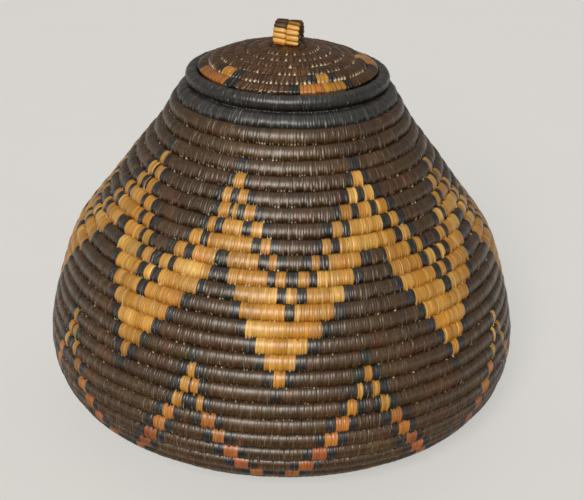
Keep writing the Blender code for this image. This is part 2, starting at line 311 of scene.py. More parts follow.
def smooth_curve(points, start_direction):
    """A cubic spline through the points, along their chords, that leaves the first in one direction."""
    points = np.array(points, float)
    chords = np.linalg.norm(np.diff(points, axis=0), axis=1)
    count = len(points)
    matrix = np.zeros((count, count))
    right = np.zeros((count, 2))
    matrix[0, 0] = 1
    right[0] = start_direction
    for i in range(1, count - 1):
        matrix[i, i - 1 : i + 2] = chords[i], 2 * (chords[i - 1] + chords[i]), chords[i - 1]
        before = (points[i] - points[i - 1]) / chords[i - 1]
        after = (points[i + 1] - points[i]) / chords[i]
        right[i] = 3 * (chords[i] * before + chords[i - 1] * after)
    matrix[-1, -2:] = 1, 2
    right[-1] = 3 * (points[-1] - points[-2]) / chords[-1]
    slopes = np.linalg.solve(matrix, right)
    steps = np.linspace(0, 1, CURVE_SAMPLES // count, endpoint=False)[:, None]
    spans = []
    for i, chord in enumerate(chords):
        first = (1 + 2 * steps) * (1 - steps) ** 2 * points[i] + steps * (1 - steps) ** 2 * chord * slopes[i]
        last = steps**2 * (3 - 2 * steps) * points[i + 1] - steps**2 * (1 - steps) * chord * slopes[i + 1]
        spans.append(first + last)
    return np.vstack([*spans, points[-1:]])


class Meridian:
    """A coil's middle line in a plane through the axis, read by the distance along it from the middle."""

    def __init__(self, points, outer_side):
        self.points = points
        lengths = np.linalg.norm(np.diff(points, axis=0), axis=1)
        self.distances = np.concatenate([[0], np.cumsum(lengths)])
        tangents = np.gradient(points, self.distances, axis=0)
        tangents /= np.linalg.norm(tangents, axis=1)[:, None]
        self.normals = outer_side * np.stack([tangents[:, 1], -tangents[:, 0]], axis=1)
        self.length = self.distances[-1]

    def at(self, distance, offset):
        """Radius and height of the points at some distances, moved outwards by some offsets."""
        place = [np.interp(distance, self.distances, self.points[:, k]) for k in (0, 1)]
        normal = [np.interp(distance, self.distances, self.normals[:, k]) for k in (0, 1)]
        size = np.hypot(*normal)
        return place[0] + offset * normal[0] / size, place[1] + offset * normal[1] / size


class Coil:
    """A coil along a meridian: its rows are a pitch apart, counted back from the middle of the last one."""

    def __init__(self, meridian, reach, pitch, thickness, gap):
        self.meridian = meridian
        self.pitch = pitch
        self.gap = gap
        self.half = thickness / 2
        self.rows = int(reach / pitch)
        self.start = reach - self.rows * pitch

    def middle(self, row):
        """How far along the meridian a row's middle lies. A row may be a fraction, on the ramp."""
        return self.start + row * self.pitch

    def edge(self, row):
        """The far edge of a row, half the gap short of the next one."""
        return self.middle(row + 1 / 2) - self.gap / 2

    def radius(self, row, offset=0):
        """The radius of a row's middle, or of the point that lies some way outside it."""
        return self.meridian.at(self.middle(row), offset)[0]


def body_coil(sizes):
    """The body's coil: flat under the base, out to the belly, up the neck and in over the shoulder."""
    half = sizes.coil_thickness / 2
    belly = np.array([sizes.body_radius - half, sizes.belly_height])
    mouth = np.array([sizes.mouth_radius + half, sizes.body_height - half])
    droop = np.array([math.cos(sizes.shoulder_droop), -math.sin(sizes.shoulder_droop)])
    shoulder = mouth + sizes.row_pitch * droop
    base_edge = np.array([sizes.base_radius, half])
    bends = [base_edge]
    bends += [base_edge + np.array(share) * (belly - base_edge) for share in LOWER_WALL_SHARES]
    bends += [belly]
    low = np.array([shoulder[0], belly[1]])
    high = np.array([belly[0], shoulder[1]])
    bends += [low + np.array(share) * (high - low) for share in UPPER_WALL_SHARES]
    bends += [shoulder, mouth]
    base = np.linspace((0, half), base_edge, TURN_SEGMENTS, endpoint=False)
    wall = np.vstack([base, smooth_curve(bends, (1, 0))])
    reach = Meridian(wall, 1).length
    overrun = mouth - np.array([sizes.row_pitch, 0])
    meridian = Meridian(np.vstack([wall, overrun]), 1)
    return Coil(meridian, reach, sizes.row_pitch, sizes.coil_thickness, sizes.row_gap)


def node_middle(name):
    """Middle radius, middle height and half height of a ring's solid."""
    low, high = (np.array(corner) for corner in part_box(name))
    half = (high[2] - low[2]) / 2
    return (high[0] - low[0]) / 2 - half, (high[2] + low[2]) / 2, half


def lid_coil(sizes):
    """The lid's coil: a low dome that ends against a corner of the edge roll's section."""
    roll_radius = sizes.mouth_radius + sizes.coil_thickness
    roll_height = node_middle("lid_edge_roll")[1]
    reach = sizes.lid_roll_thickness / 2 / math.cos(math.pi / ROLL_SIDES) + sizes.row_gap
    slope = np.array([-math.cos(sizes.lid_edge_slope), math.sin(sizes.lid_edge_slope)])
    edge = np.array([roll_radius, roll_height]) + reach * slope
    dome = [(out * edge[0], edge[1] + up * sizes.lid_rise) for out, up in DOME_SHARES]
    meridian = Meridian(smooth_curve(dome, (1, 0)), -1)
    length = meridian.length - sizes.lid_row_pitch / 2
    return Coil(meridian, length, sizes.lid_row_pitch, sizes.lid_coil_thickness, sizes.row_gap)


def ramp(turn_share):
    """How far a turn has climbed to the next row: level, then up on a smooth step at its end."""
    along = np.clip(1 - (1 - turn_share) * TURN_SEGMENTS / RAMP_SEGMENTS, 0, 1)
    return along * along * (3 - 2 * along)


def turn_angle(turn_share):
    """The angle at a share of a turn. Each turn starts just past the ramp, whose middle is at the back."""
    return math.pi / 2 + math.pi * RAMP_SEGMENTS / TURN_SEGMENTS + 2 * math.pi * turn_share


def azimuth_of(angle):
    """Degrees round from the front, to the right, between -180 and 180."""
    return (np.degrees(angle) + 90 + 180) % 360 - 180


class Strips:
    """How a stretch of coil is cut into strips, with columns of points across each.

    A column's share is its place along the stretch. Its relief is how deep it lies under the coil's
    full round: the groove, less each strip's own height and tilt. Its tongue, between 0 and 1, is how
    much the strip's end reaches over the next row. Its lift and bend lean it outwards and sideways.
    """

    def __init__(self, length, width, strips, rng, spread=None, first_share=1.0, closed=False, fine=False):
        columns, least_tongue, tongue_power = FINE_STRIP if fine else BODY_STRIP
        self.count = max(LEAST_STRIPS, round(length / width))
        spread = strips.unevenness if spread is None else spread
        steps = 1 + spread * rng.uniform(-1, 1, self.count)
        steps[0] *= first_share
        edges = np.concatenate([[0], np.cumsum(steps)]) / steps.sum()
        self.middles = (edges[1:] + edges[:-1]) / 2
        self.number = np.append(np.repeat(np.arange(self.count), len(columns)), self.count - 1)
        self.across = np.append(np.tile(columns, self.count), 1.0)
        self.share = edges[self.number] + self.across * (edges[self.number + 1] - edges[self.number])
        depth = GROOVE_LEAST + GROOVE_SPREAD * rng.uniform(0, 1, self.count + 1) ** GROOVE_SKEW
        if closed:
            depth[-1] = depth[0]
        depth = np.where(self.across < 0.5, depth[self.number], depth[self.number + 1])
        edge = np.abs(2 * self.across - 1)
        height = rng.normal(0, HEIGHT_SPREAD, self.count)[self.number]
        tilt = rng.normal(TILT, TILT_SPREAD, self.count)[self.number]
        own = height + tilt * (self.across - 0.5)
        self.relief = strips.groove * (depth * edge**CROWN_POWER - (1 - edge**CROWN_POWER) * own)
        reach = np.clip(rng.uniform(least_tongue, LONGEST_TONGUE, self.count), 0, 1)[self.number]
        self.tongue = reach * (1 - edge**tongue_power)
        self.lift = strips.lift * rng.normal(0, 1, self.count)[self.number] * (1 - edge**2)
        bends = rng.normal(0, BEND_SPREAD, self.count + 1)
        bends[[0, -1]] = 0
        self.bend = bends[self.number] * (1 - self.across) + bends[self.number + 1] * self.across
        self.step = 1 / self.count


def mixed(first, second, share):
    """Two colours mixed, with one share for each strip."""
    return first + (second - first) * share[:, None]


def varied(mean, leaf_spread, strip_spread, leaf, rng):
    """A random number for each strip: one draw that its leaf shares, and one of its own."""
    count = len(leaf)
    return rng.normal(mean, leaf_spread, count)[leaf] + rng.normal(0, strip_spread, count)


def dyed(kinds, count, dyes, rng):
    """A colour for each strip: its dye, tinted leaf by leaf and made lighter or darker strip by strip."""
    kinds = np.broadcast_to(kinds, count)
    leaf = np.repeat(np.arange(count), rng.integers(*LEAF_STRIPS, count))[:count]
    colour = np.array([getattr(dyes, name) for name in DYES])[kinds]
    straw_dye, orange_dye, gold_dye = (np.array(dye) for dye in (dyes.straw, dyes.orange, dyes.gold))
    tint = LEAF_TINTS[rng.integers(0, len(LEAF_TINTS), count)][leaf]
    strength = rng.uniform(*TINT_STRENGTHS, count)[leaf]
    strength = strength * np.where(kinds == BLACK, BLACK_TINT, 1.0)
    tinted = colour * (1 + (tint - 1) * strength[:, None])
    straw = np.clip(varied(*STRAW_SHARE, leaf, rng), 0, 1)
    amber = np.clip(varied(*AMBER_SHARE, leaf, rng), 0, MOST_AMBER)
    pale = mixed(mixed(colour, straw_dye, straw), orange_dye, amber)
    warm = np.where((kinds == GOLD)[:, None], pale, mixed(colour, gold_dye, straw * WARM_STRAW))
    ground = kinds <= BLACK
    colour = np.where(ground[:, None], tinted, warm)
    light = np.exp(varied(*LIGHTNESS, leaf, rng))
    light = np.where(ground, light, light**WARM_LIGHTNESS)
    return np.clip(colour * light[:, None], 0, PALEST)


def palm_skin(node, body, points, cut, colours, vs, material, closed=False):
    """A closed skin over a grid of points: columns along the coil, rings of points round its section.

    Faces join each ring to the next. An open stretch has a fan of triangles on each end. The UV map
    holds the strip's number plus the share across it, and how far along the strip a point is.
    """
    columns, ring = points.shape[:2]
    step = np.arange(columns if closed else columns - 1)
    following = (step + 1) % columns
    around = np.arange(ring)
    beyond = (around + 1) % ring
    corner = [step[:, None] * ring + around, following[:, None] * ring + around]
    corner += [following[:, None] * ring + beyond, step[:, None] * ring + beyond]
    quads = np.stack(corner, axis=-1).reshape(-1, 4)

    along = (cut.number + cut.across)[:, None]
    low, high, up, above = np.broadcast_arrays(along[step], along[step + 1], vs, np.append(vs[1:], 2.0))
    uvs = np.stack([low, up, high, up, high, above, low, above], axis=-1)
    if colours.ndim == 2:
        colours = np.broadcast_to(colours[:, None, :], (len(colours), ring, 3))
    tones = np.repeat(colours[cut.number[step]].reshape(-1, 1, 3), 4, axis=1)

    flat = points.reshape(-1, 3)
    loops, sizes = [quads.reshape(-1)], [np.full(len(quads), 4)]
    uvs, tones = [uvs.reshape(-1, 2)], [tones.reshape(-1, 3)]
    if not closed:
        for column, order in ((0, 1), (columns - 1, -1)):
            centre = len(flat)
            flat = np.vstack([flat, points[column].mean(axis=0)])
            rim = column * ring + around[::order]
            fan = np.stack([np.roll(rim, -1), rim, np.full(ring, centre)], axis=-1)
            loops.append(fan.reshape(-1))
            sizes.append(np.full(ring, 3))
            uvs.append(np.full((3 * ring, 2), (cut.number[column] + 0.5, 0.5)))
            tones.append(np.full((3 * ring, 3), colours[cut.number[column], 0]))
    corners = [np.concatenate(parts) for parts in (loops, sizes, uvs, tones)]
    stand_for(make_piece(f"{node}_wrapped", flat, *corners, material), node, body)


def placed(name, data):
    """A new object in the scene, at the origin."""
    thing = bpy.data.objects.new(name, data)
    bpy.context.scene.collection.objects.link(thing)
    return thing


def signed_volume(points, loops, starts, sizes):
    """Volume inside the faces, from a fan of tetrahedra over each: positive where they point outwards."""
    total = 0.0
    for first in (1, 2):
        faces = starts[sizes > first + 1]
        a, b, c = (points[loops[faces + k]] for k in (0, first, first + 1))
        total += np.einsum("ij,ij->i", a, np.cross(b, c)).sum() / 6
    return total


def make_piece(name, points, loops, sizes, uvs, tones, material):
    """An object from flat arrays of corners, shaded smooth, with its faces turned outwards."""
    starts = np.concatenate([[0], np.cumsum(sizes)[:-1]])
    if signed_volume(points, loops, starts, sizes) < 0:
        face = np.repeat(np.arange(len(sizes)), sizes)
        place = np.arange(len(loops)) - starts[face]
        turned = starts[face] + sizes[face] - 1 - place
        loops, uvs, tones = loops[turned], uvs[turned], tones[turned]
    mesh = bpy.data.meshes.new(name)
    mesh.vertices.add(len(points))
    mesh.vertices.foreach_set("co", points.astype(np.float32).reshape(-1))
    mesh.loops.add(len(loops))
    mesh.loops.foreach_set("vertex_index", loops.astype(np.int32))
    mesh.polygons.add(len(sizes))
    mesh.polygons.foreach_set("loop_start", starts.astype(np.int32))
    mesh.update(calc_edges=True)
    mesh.validate()
    layer = mesh.uv_layers.new(name="strips")
    layer.uv.foreach_set("vector", uvs.astype(np.float32).reshape(-1))
    dye = mesh.color_attributes.new(name="dye", type="FLOAT_COLOR", domain="CORNER")
    rgba = np.concatenate([tones, np.ones((len(tones), 1))], axis=1)
    dye.data.foreach_set("color", rgba.astype(np.float32).reshape(-1))
    mesh.shade_smooth()
    mesh.materials.append(material)
    return placed(name, mesh)


def stand_for(piece, node, body):
    """Put a piece in the place of its solid, on the body that carries it."""
    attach(piece, body)
    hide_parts(node)


def polar_points(radius, height, angle):
    """Points from radii, heights and angles about the basket's axis."""
    return np.stack([radius * np.cos(angle), radius * np.sin(angle), height], axis=-1)


def squared(value, power):
    """A sine or cosine on a superellipse: its sign times its size to the power of 2 / power."""
    return np.sign(value) * np.abs(value) ** (2 / power)


def wander(position, seed):
    """A slow random wave, between about -1 and 1, along the coil's whole length."""
    phases = np.random.default_rng(seed).uniform(0, 2 * math.pi, len(WANDER_WAVES))
    total = 0
    for (speed, weight), phase in zip(WANDER_WAVES, phases):
        total = total + weight * np.sin(2 * math.pi * speed * position + phase)
    return total / 2


def row_section(strips, cut, half_along, half_out, outer_power, mirrored=False, tongue_reach=1.0):
    """Where the points of each column stand round one row: along the meridian, outwards, and round.

    The section is a superellipse drawn in by the relief. Where a strip has a tongue, its first points
    leave the round and run straight on to the next row. A mirrored section has its tongues on the
    meridian's far side. Round the axis, the points follow the strip's slant and bend.
    """
    outwards = ROW_COSINES >= 0
    power = np.where(outwards, outer_power[:, None], ROUND_POWER)
    relief = cut.relief[:, None]
    along = squared(ROW_SINES, power) * (half_along[:, None] - relief / 2)
    out = squared(ROW_COSINES, power) * (half_out[:, None] - relief)
    out += cut.lift[:, None] * ROW_SINES * outwards
    flatness = (outer_power[:, None] - ROUND_POWER) / (FLAT_POWER - ROUND_POWER)
    tip_along = TONGUE_ALONG_SHARES * tongue_reach * half_along[:, None]
    tip_out = (TONGUE_OUT_SHARES + (FLAT_TONGUE_SHARE - TONGUE_OUT_SHARES) * flatness) * half_out[:, None]
    tongue = cut.tongue[:, None]
    along[:, TONGUE_ENDS] += tongue * (tip_along - along[:, TONGUE_ENDS])
    out[:, TONGUE_ENDS] += tongue * (tip_out - out[:, TONGUE_ENDS])
    lean = strips.slant * ROW_SINES + cut.bend[:, None] * ROW_COSINES
    return (-along if mirrored else along), out, lean * cut.step * 2 * math.pi


def coil_turn(node, body, coil, row, dye_rule, settings, material, last_share=1, mirrored=False, base_rows=0):
    """One turn of coil: level along its row, then up to the next one. The last turn thins to nothing."""
    strips = settings.strips
    rng = np.random.default_rng((LID_TURN_SEED if mirrored else TURN_SEED) + SEED_STEP * row)
    width = strips.lid_width if mirrored else strips.width
    cut = Strips(2 * math.pi * coil.radius(row) * last_share, width, strips, rng, fine=mirrored)
    share = cut.share * last_share
    cut.step *= last_share
    climbed = ramp(share)
    full = coil.pitch - coil.gap
    low = coil.edge(row + climbed) - full
    high = coil.edge(row + climbed) if last_share == 1 else np.full_like(low, coil.edge(row))
    fullness = (high - low) / full
    position = row + share
    drift = strips.drift * wander(position, DRIFT_SEED)
    sway = strips.drift * wander(position, SWAY_SEED)
    closing, tongue_reach = (LAST_ROW_CLOSING, LAST_TONGUE_REACH) if mirrored and row == coil.rows else (0, 1)
    half_along = ((high - low) / 2 + strips.overlap + closing) * np.maximum(fullness, NARROW_SHARE)
    flatness = np.clip(1 - (position - base_rows - 1) * FLAT_FADE, 0, 1) * (base_rows > 0)
    half_out = coil.half * (THIN_SHARE + (1 - THIN_SHARE) * fullness) - np.abs(drift) - FLOOR_ROOM * flatness
    power = ROUND_POWER + (FLAT_POWER - ROUND_POWER) * flatness
    along, out, lean = row_section(strips, cut, half_along, half_out, power, mirrored, tongue_reach)
    middle = ((low + high) / 2 + sway + closing)[:, None]
    reach, height = coil.meridian.at(middle + along, out)
    # Where the basket rests, its strips are pressed flat on the floor.
    points = polar_points(reach, np.maximum(height, 0), turn_angle(share)[:, None] + lean)

    middles = cut.middles * last_share
    level = np.rint(row + ramp(middles)).astype(int)
    kinds = dye_rule(level, azimuth_of(turn_angle(middles)), coil)
    palm_skin(node, body, points, cut, dyed(kinds, cut.count, settings.dyes, rng), ROW_VS, material)


def level_ring(node, body, coil, row, kind, settings, material):
    """A closed ring of coil on one level row."""
    strips = settings.strips
    rng = np.random.default_rng(RING_SEED + row)
    cut = Strips(2 * math.pi * coil.radius(row), strips.width, strips, rng, closed=True)
    ones = np.ones_like(cut.share)
    half_along = (coil.pitch / 2 + strips.overlap) * ones
    along, out, lean = row_section(strips, cut, half_along, coil.half * ones, ROUND_POWER * ones)
    reach, height = coil.meridian.at(coil.middle(row) + along, out)
    points = polar_points(reach, height, turn_angle(cut.share)[:, None] + lean)[:-1]
    palm_skin(node, body, points, cut, dyed(kind, cut.count, settings.dyes, rng), ROW_VS, material, True)


def round_ring(node, body, kind, settings, material, seed):
    """A closed ring of round coil on the middle of its solid: a torus drawn in by each strip's relief."""
    strips = settings.strips
    rng = np.random.default_rng(seed)
    radius, height, half = node_middle(node)
    cut = Strips(2 * math.pi * radius, strips.width, strips, rng, closed=True)
    around = ROUND_ANGLES[None, :]
    thick = half - RING_RELIEF * cut.relief[:, None] + cut.lift[:, None] * np.sin(around)
    thick = thick - RING_GROOVE * strips.groove
    angle = turn_angle(cut.share)[:, None] + strips.slant * np.sin(around) * cut.step * 2 * math.pi
    points = polar_points(radius + thick * np.cos(around), height + thick * np.sin(around), angle)[:-1]
    palm_skin(node, body, points, cut, dyed(kind, cut.count, settings.dyes, rng), ROUND_VS, material, True)


def start_knot(node, body, coil, kind, settings, material, flat):
    """The first knot of a coil: strips fan out from its middle over a round button, which widens at its
    end to meet the first turn. Its section is half a superellipse, and both poles are drawn together."""
    strips = settings.strips
    rng = np.random.default_rng(KNOT_SEED + flat)
    cut = Strips(2 * math.pi * coil.edge(0), strips.lid_width, strips, rng, fine=True)
    edge = coil.edge(ramp(cut.share)) + strips.overlap
    power = FLAT_KNOT_POWER if flat else ROUND_KNOT_POWER
    ring = squared(np.cos(KNOT_ANGLES), power)
    ring[[0, -1]] = KNOT_POLE
    relief = cut.relief[:, None] * np.minimum(1, KNOT_FADE * ring)
    distance = ring * (edge[:, None] - relief / 2)
    out = squared(np.sin(KNOT_ANGLES), power) * (coil.half - relief - FLOOR_ROOM * flat)
    reach, height = coil.meridian.at(distance, out)
    points = polar_points(reach, height, turn_angle(cut.share)[:, None])
    palm_skin(node, body, points, cut, dyed(kind, cut.count, settings.dyes, rng), KNOT_VS, material)


def turned_by(azimuth, marks):
    """How far each azimuth is turned from each mark, between -180 and 180 degrees."""
    return (azimuth[:, None] - marks + 180) % 360 - 180


def picked(values, columns):
    """One value from each row of an array."""
    return values[np.arange(len(columns)), columns]


def first_rule(rules, otherwise):
    """For each strip, the dye of the first rule that holds for it."""
    return np.select([rule for rule, _ in rules], [kind for _, kind in rules], otherwise)


def upper_figure(level, azimuth, check, step):
    """Which strips of the upper figure are gold or black.

    Below the line level each V is a solid band that widens from its tip by a fixed step a row. From
    the line level up, a thin line a check wide climbs each side, one check a row, to the peak. The band
    lies outside it beyond one black check, and above the notch level the bands of neighbouring Vs are one.
    The Vs differ a little: a side may be trimmed, climb faster or have its peak a row lower.
    """
    centre = V_TIPS + V_LEANS * level[:, None]
    before = np.roll(V_PEAKS, 1) - np.array([360] + [0] * (len(V_PEAKS) - 1))
    off = turned_by(azimuth, centre)
    reach = np.where(off > 0, V_PEAKS - centre, centre - before)
    nearest = np.argmin(np.abs(off) / reach, axis=1)
    off = picked(off, nearest)
    reach = picked(reach, nearest)
    side = (off > 0).astype(int)
    top = np.where(off > 0, V_TOPS[nearest], np.roll(V_TOPS, 1)[nearest])
    trim = V_TRIMS[nearest, side] * np.clip(level / TRIM_ROWS, 0, 1)
    off = np.abs(off)
    line = np.minimum(step * V_CLIMBS[nearest] * (level - LINE_LEVEL), reach - LINE_END * check)
    line = np.where(level == top, reach, line)
    past = off - line
    edge = np.minimum(TIP_HALF + EDGE_STEP * level - trim, reach - NOTCH_HALF)
    solid = (level >= 0) & (level < LINE_LEVEL)
    lined = (level >= LINE_LEVEL) & (level <= top)
    notched = lined & (level <= NOTCH_LEVEL) & (past > 0)
    merged = lined & (level > NOTCH_LEVEL) & (level < top) & (past > 0)
    rules = [
        ((level == -1) & (off < check / 2), BLACK),
        ((level == top + 1) & (reach - off < check / 2), BLACK),
        ((level == LINE_LEVEL - 1) & (off < check / 2), BLACK),
        (solid & (off < edge), GOLD),
        (solid & (off < edge + check), BLACK),
        (lined & (np.abs(past) < check / 2), GOLD),
        (lined & (np.abs(past) < (1 / 2 + GAP_SHARE) * check), BLACK),
        (notched & (off < edge), GOLD),
        (notched & (off < edge + check), BLACK),
        (merged, GOLD),
    ]
    return first_rule(rules, BROWN)


def lower_figure(level, azimuth, check, step):
    """Which strips of the lower figure are gold, orange, rust or black: legs that part by one step a row."""
    off = np.abs(turned_by(azimuth, SMALL_PEAKS))
    lag = SMALL_LAGS[off.argmin(axis=1)]
    off = off.min(axis=1)
    below = -level
    past = np.abs(off - np.maximum(below, 0) * step + lag * np.clip(below / TRIM_ROWS, 0, 1))
    half = SMALL_SPREADS[np.clip(below, 0, SMALL_ROWS)] * check / 2
    leg = np.select([below >= RUST_FROM, below >= ORANGE_FROM], [RUST, ORANGE], GOLD)
    inside = (below >= 0) & (below < SMALL_ROWS)
    rules = [
        ((below == -1) & (off < check / 2), BLACK),
        (inside & (past < half), leg),
        (inside & (past < half + check), BLACK),
    ]
    return first_rule(rules, BROWN)


def body_kinds(row, azimuth, coil):
    """The dye of each strip of the body, from its row and how far round it is."""
    radius = coil.radius(row, coil.half)
    level = row - TIP_ROW
    half_way = coil.radius(TIP_ROW + (level + LINE_LEVEL) / 2, coil.half)
    upper = upper_figure(level, azimuth, np.degrees(CHECK_WIDTH / radius), np.degrees(LINE_STEP / half_way))
    lower = lower_figure(level, azimuth, np.degrees(SMALL_CHECK / radius), np.degrees(SMALL_STEP / radius))
    return np.where(upper == BROWN, lower, upper)


def slate_kinds(row, azimuth, coil):
    """Slate all round."""
    return SLATE


def lid_kinds(row, azimuth, coil):
    """The dye of each strip of the lid."""
    marks = np.where((row == LID_INNER_ROW)[:, None, None], LID_CHECKS, LID_PATCHES)
    off = turned_by(azimuth, marks[..., 0])
    past = np.abs(off) - marks[..., 1]
    nearest = past.argmin(axis=1)
    near = picked(off, nearest)
    past = picked(past, nearest)
    inner = row == LID_INNER_ROW
    outer = row > LID_INNER_ROW
    orange = outer & ((near < 0) | (nearest == 0))
    rules = [
        (orange & (past < 0), ORANGE),
        ((inner | outer) & (past < 0), GOLD),
        (inner & (past < LID_CHECK_BLACK), BLACK),
        (outer & (past < LID_PATCH_BLACK), BLACK),
    ]
    return first_rule(rules, UMBER)


def entry(name, kind, inputs=None, **settings):
    """A row for add_nodes: a node's name, its type, its inputs and its settings."""
    return name, kind, inputs or {}, settings


def maths(name, operation, *inputs, kind="Math", **settings):
    """A row for a Math node."""
    return entry(name, kind, dict(enumerate(inputs)), operation=operation, **settings)


def span(name, source, low, high, to_low=0.0, to_high=1.0, **settings):
    """A row for a Map Range node, which takes low to one value and high to another."""
    return entry(name, "MapRange", dict(enumerate((source, low, high, to_low, to_high))), **settings)


def smooth(name, source, low, high, to_low=0.0, to_high=1.0):
    """A row for a Map Range node on a smooth step."""
    return span(name, source, low, high, to_low, to_high, interpolation_type="SMOOTHSTEP")


def blend(name, kind, share, first, second):
    """A row for a Mix node of two colours. Its colour comes out of its output number 2."""
    return entry(name, "Mix", {0: share, 6: first, 7: second}, data_type="RGBA", blend_type=kind)


def feed(tree, node, inputs):
    """Give each input, by its name or number, a value or a link from "node" or "node/output"."""
    for key, source in inputs.items():
        if isinstance(source, str):
            name, _, output = source.partition("/")
            outputs = tree.nodes[name].outputs
            tree.links.new(outputs[int(output) if output.isdigit() else output or 0], node.inputs[key])
        else:
            node.inputs[key].default_value = source


def add_nodes(tree, rows):
    """Make nodes from rows, each of them after the nodes that feed it."""
    for name, kind, inputs, settings in rows:
        made = tree.nodes.new(f"ShaderNode{kind}")
        made.name = name
        for key, value in settings.items():
            setattr(made, key, value)
        feed(tree, made, inputs)


def palm_group():
    """The look of a palm strip: fibres along it, painted shade in its grooves and at its ends, pale
    streaks of painted glint and painted highlights on its tips.

    Its coordinates are the strip UV map: across the strips and along them. Fibres are noise drawn out
    along the strip, the painted glint streaks are the peaks of a finer noise, and painted shade darkens
    the edges of a strip and both its ends. The painted highlights are pale wedges at the lower end of
    some strips, picked by their number and more often inside the patches of a coarse noise. The gloss
    is strong on upper sides and weak in the grooves.
    """
    group = bpy.data.node_groups.new("palm strip", "ShaderNodeTree")
    # The groove's tint is the colour of a painted shade, the streaks are painted glints and the tips are
    # painted highlights.
    inputs = {"Dye": (0.1, 0.06, 0.04, 1), "Groove tint": (0.30, 0.20, 0.14, 1), "Crest": 0.5, "Fibre": 0.5}
    inputs |= {"Groove": 0.6, "Streak": 0.4, "Roughness": 0.45}
    inputs |= {"Tip": 0.5, "Tip share": 0.3, "Tip length": 0.2, "Tip lean": 0.0}
    for name, value in inputs.items():
        kind = "NodeSocketFloat" if isinstance(value, float) else "NodeSocketColor"
        group.interface.new_socket(name, in_out="INPUT", socket_type=kind).default_value = value
    outputs = {"Color": "tipped/2", "Roughness": "rough groove", "Gloss": "gloss", "Height": "height"}
    for name in outputs:
        kind = "NodeSocketColor" if name == "Color" else "NodeSocketFloat"
        group.interface.new_socket(name, in_out="OUTPUT", socket_type=kind)
    group.nodes.new("NodeGroupInput").name = "in"
    patch = {"Vector": "place/Object", "W": 2.0, "Scale": 17.0, "Detail": 1.0}
    rows = [
        entry("uv", "UVMap", uv_map="strips"),
        entry("parts", "SeparateXYZ", {0: "uv"}),
        entry("place", "TexCoord"),
        entry("place parts", "SeparateXYZ", {0: "place/Object"}),
        # Fibres, streaks of painted glint and a mottle.
        maths("fibre place", "MULTIPLY", "uv", (6.5, 2.2, 1.0), kind="VectorMath"),
        entry("fibre", "TexNoise", {"Vector": "fibre place", "Scale": 1.0, "Detail": 3.0, "Roughness": 0.6}),
        maths("streak place", "MULTIPLY", "uv", (5.0, 0.7, 1.0), kind="VectorMath"),
        entry("streak", "TexNoise", {"Vector": "streak place", "Scale": 1.7, "Detail": 2.0}),
        smooth("streak mask", "streak", 0.635, 0.71),
        entry("mottle", "TexNoise", {"Vector": "place/Object", "Scale": 38.0, "Detail": 4.0}),
        # Painted shade in the grooves on both sides of a strip, and at its two ends.
        maths("share", "FRACT", "parts/X"),
        maths("shifted", "SUBTRACT", "share", "in/Crest"),
        maths("side", "ABSOLUTE", "shifted"),
        smooth("groove", "side", 0.38, 0.5),
        maths("groove depth", "MULTIPLY", "groove", "in/Groove"),
        smooth("low end", "parts/Y", 0.45, 0.04),
        smooth("high end", "parts/Y", 0.84, 0.98),
        maths("ends", "MAXIMUM", "low end", "high end"),
        maths("end depth", "MULTIPLY", "ends", 0.55),
        # The dye, toned, darkened by painted shade, and its streaks of painted glint.
        span("fibre tone", "fibre", 0.25, 0.75, 0.62, 1.38, clamp=False),
        span("mottle tone", "mottle", 0.3, 0.7, 0.82, 1.18, clamp=False),
        maths("tone", "MULTIPLY", "fibre tone", "mottle tone"),
        blend("fibred", "MULTIPLY", "in/Fibre", "in/Dye", "tone"),
        blend("grooved", "MULTIPLY", "groove depth", "fibred/2", "in/Groove tint"),
        # Painted shade at both ends of a strip, where one row meets the next.
        blend("ended", "MULTIPLY", "end depth", "grooved/2", (0.42, 0.29, 0.18, 1)),
        # The streaks are painted glints: pale lines along the strips.
        maths("streak depth", "MULTIPLY", "streak mask", "in/Streak"),
        blend("streaked", "SCREEN", "streak depth", "ended/2", (0.56, 0.48, 0.35, 1)),
        # Which strips have a painted highlight on their tip.
        entry("patch", "TexNoise", patch, noise_dimensions="4D"),
        maths("leaning", "MULTIPLY_ADD", "place parts/Y", "in/Tip lean", "patch"),
        smooth("patches", "leaning", 0.42, 0.56, 0.12, 1.15),
        maths("odds", "MULTIPLY", "in/Tip share", "patches"),
        maths("number", "FLOOR", "parts/X"),
        entry("chance", "TexWhiteNoise", {"W": "number"}, noise_dimensions="1D"),
        maths("chosen", "LESS_THAN", "chance", "odds"),
        # The painted highlight's wedge on the tip, and how bright each is.
        smooth("tip", "parts/Y", "in/Tip length", 0.08),
        maths("centred", "SUBTRACT", "share", 0.5),
        maths("offset", "ABSOLUTE", "centred"),
        maths("taper", "MULTIPLY_ADD", "parts/Y", 0.9, "offset"),
        smooth("wedge", "taper", 0.46, 0.22),
        maths("tip place", "MULTIPLY", "tip", "wedge"),
        maths("tips", "MULTIPLY", "tip place", "chosen"),
        maths("second number", "ADD", "number", 0.37),
        entry("second chance", "TexWhiteNoise", {"W": "second number"}, noise_dimensions="1D"),
        maths("tip strength", "MULTIPLY", "tips", "second chance"),
        maths("tip depth", "MULTIPLY", "tip strength", "in/Tip"),
        # The pale colour of the tips is a painted highlight.
        blend("tipped", "MIX", "tip depth", "streaked/2", (0.88, 0.76, 0.56, 1)),
        # Roughness, gloss and height.
        span("rough fibre", "fibre", 0.0, 1.0, -0.14, 0.14, clamp=False),
        maths("rough", "ADD", "rough fibre", "in/Roughness"),
        maths("rough groove", "MULTIPLY_ADD", "groove", 0.2, "rough"),
        entry("facing", "SeparateXYZ", {0: "place/Normal"}),
        smooth("upper side", "facing/Z", -0.05, 0.35),
        maths("ungrooved", "SUBTRACT", 1.0, "groove depth"),
        maths("gloss", "MULTIPLY", "upper side", "ungrooved"),
        maths("height", "MULTIPLY_ADD", "streak mask", 0.5, "fibre"),
    ]
    add_nodes(group, rows)
    feed(group, group.nodes.new("NodeGroupOutput"), outputs)
    return group


